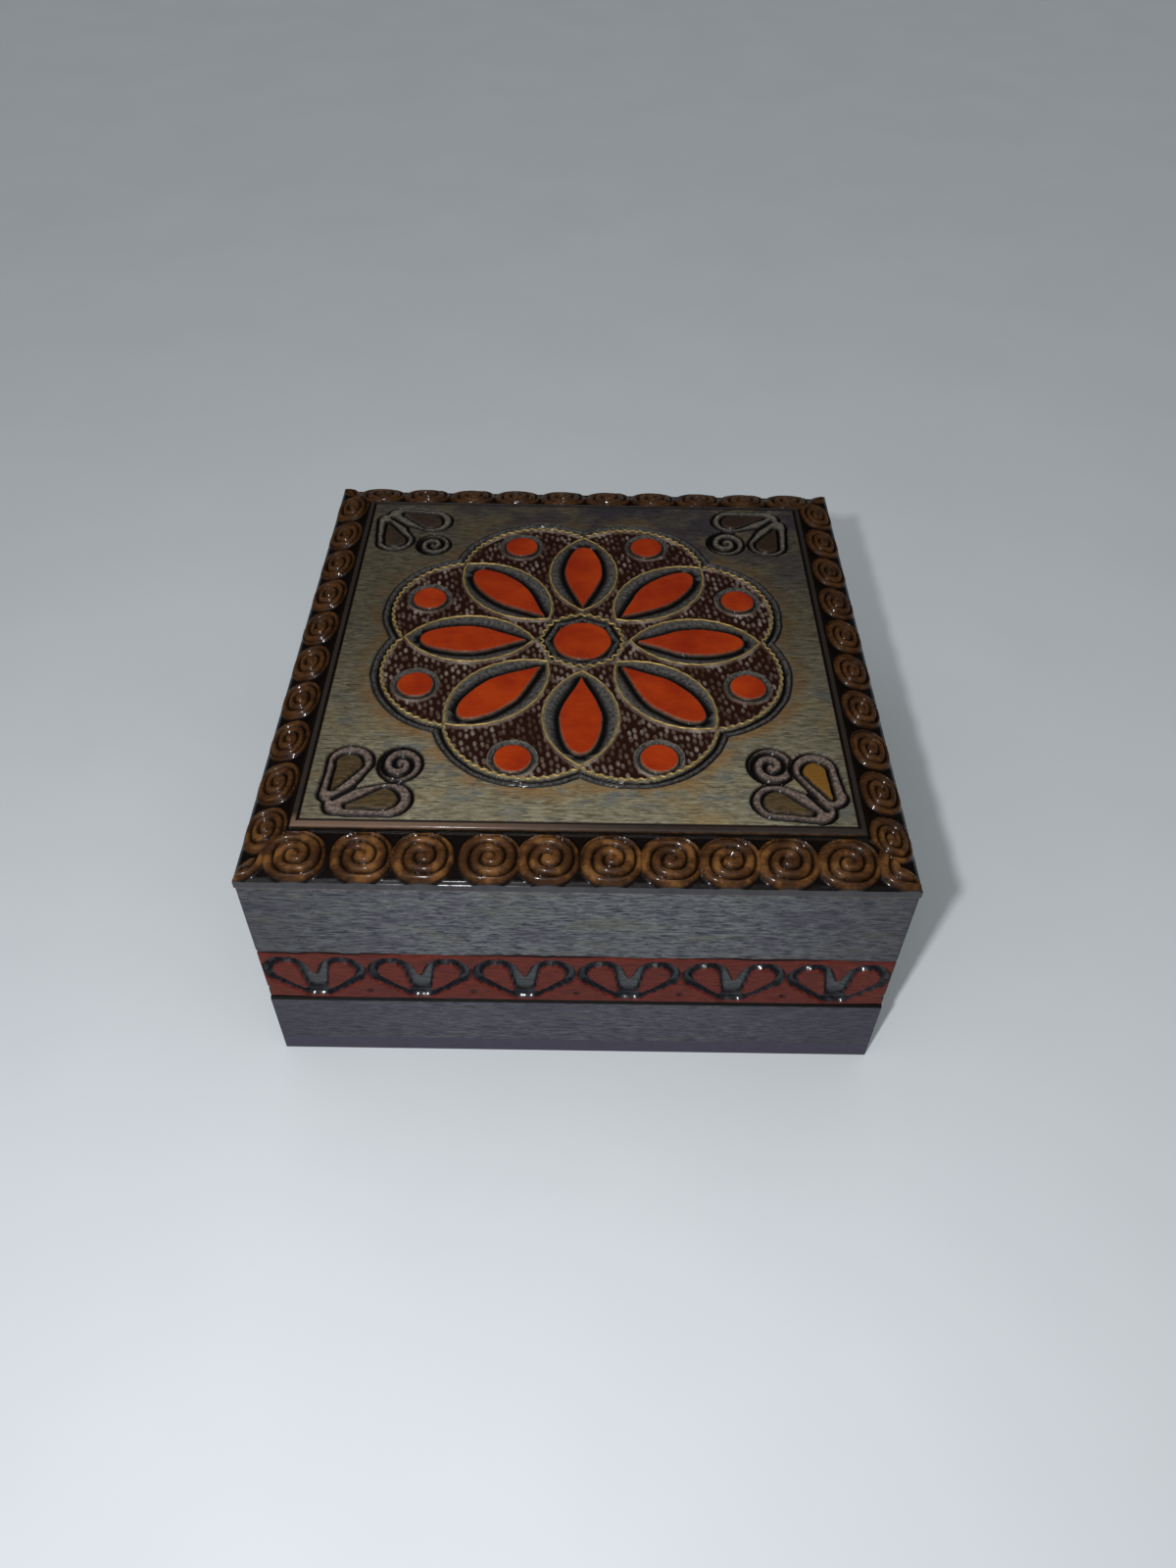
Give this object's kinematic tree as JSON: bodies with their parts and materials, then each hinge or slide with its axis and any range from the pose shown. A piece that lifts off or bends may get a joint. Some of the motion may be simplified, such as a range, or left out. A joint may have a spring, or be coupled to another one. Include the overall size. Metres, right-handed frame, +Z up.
{
  "type": "carved wooden jewelry box",
  "caption": "Small wooden jewelry box with a deep hinged lid, a carved and wire-inlaid rosette on top and a carved red leaf band.",
  "frame": {"origin": "centre of the box's underside", "axes": "+Z up, -Y towards the front, +X to the right seen from the front; the hinges are at +Y"},
  "size_m": [0.127, 0.132, 0.0615],
  "materials": {
    "stained_wood": "stained, satin lacquer",
    "banded_wood": "grey-blue stain with a brick red band, satin lacquer",
    "bottom_wood": "dark stain, satin lacquer",
    "carved_top_wood": "carved, stained and gloss lacquered",
    "brass": "drawn wire and sheet, lightly tarnished"
  },
  "bodies": {
    "base": {"bottom_board": "bottom_wood", "base_front_wall": "stained_wood", "base_back_wall": "stained_wood", "base_left_wall": "stained_wood", "base_right_wall": "stained_wood", "left_hinge_base_leaf": "brass", "left_hinge_pin": "brass", "left_hinge_base_screws": "brass", "right_hinge_base_leaf": "brass", "right_hinge_pin": "brass", "right_hinge_base_screws": "brass"},
    "lid": {"lid_front_wall": "banded_wood", "lid_back_wall": "banded_wood", "lid_left_wall": "banded_wood", "lid_right_wall": "banded_wood", "top_board": "carved_top_wood", "petal_wire_1": "brass", "petal_wire_2": "brass", "petal_wire_3": "brass", "petal_wire_4": "brass", "petal_wire_5": "brass", "petal_wire_6": "brass", "petal_wire_7": "brass", "petal_wire_8": "brass", "lobe_wire_1": "brass", "lobe_wire_2": "brass", "lobe_wire_3": "brass", "lobe_wire_4": "brass", "lobe_wire_5": "brass", "lobe_wire_6": "brass", "lobe_wire_7": "brass", "lobe_wire_8": "brass", "centre_wire": "brass", "left_hinge_lid_leaf": "brass", "left_hinge_lid_screws": "brass", "right_hinge_lid_leaf": "brass", "right_hinge_lid_screws": "brass"}
  },
  "joints": [
    {"name": "lid_hinge", "type": "hinge", "parent": "base", "child": "lid", "pos_m": [0, 0.0638, 0.01935], "axis": [-1, 0, 0], "range_deg": [0, 95]}
  ]
}
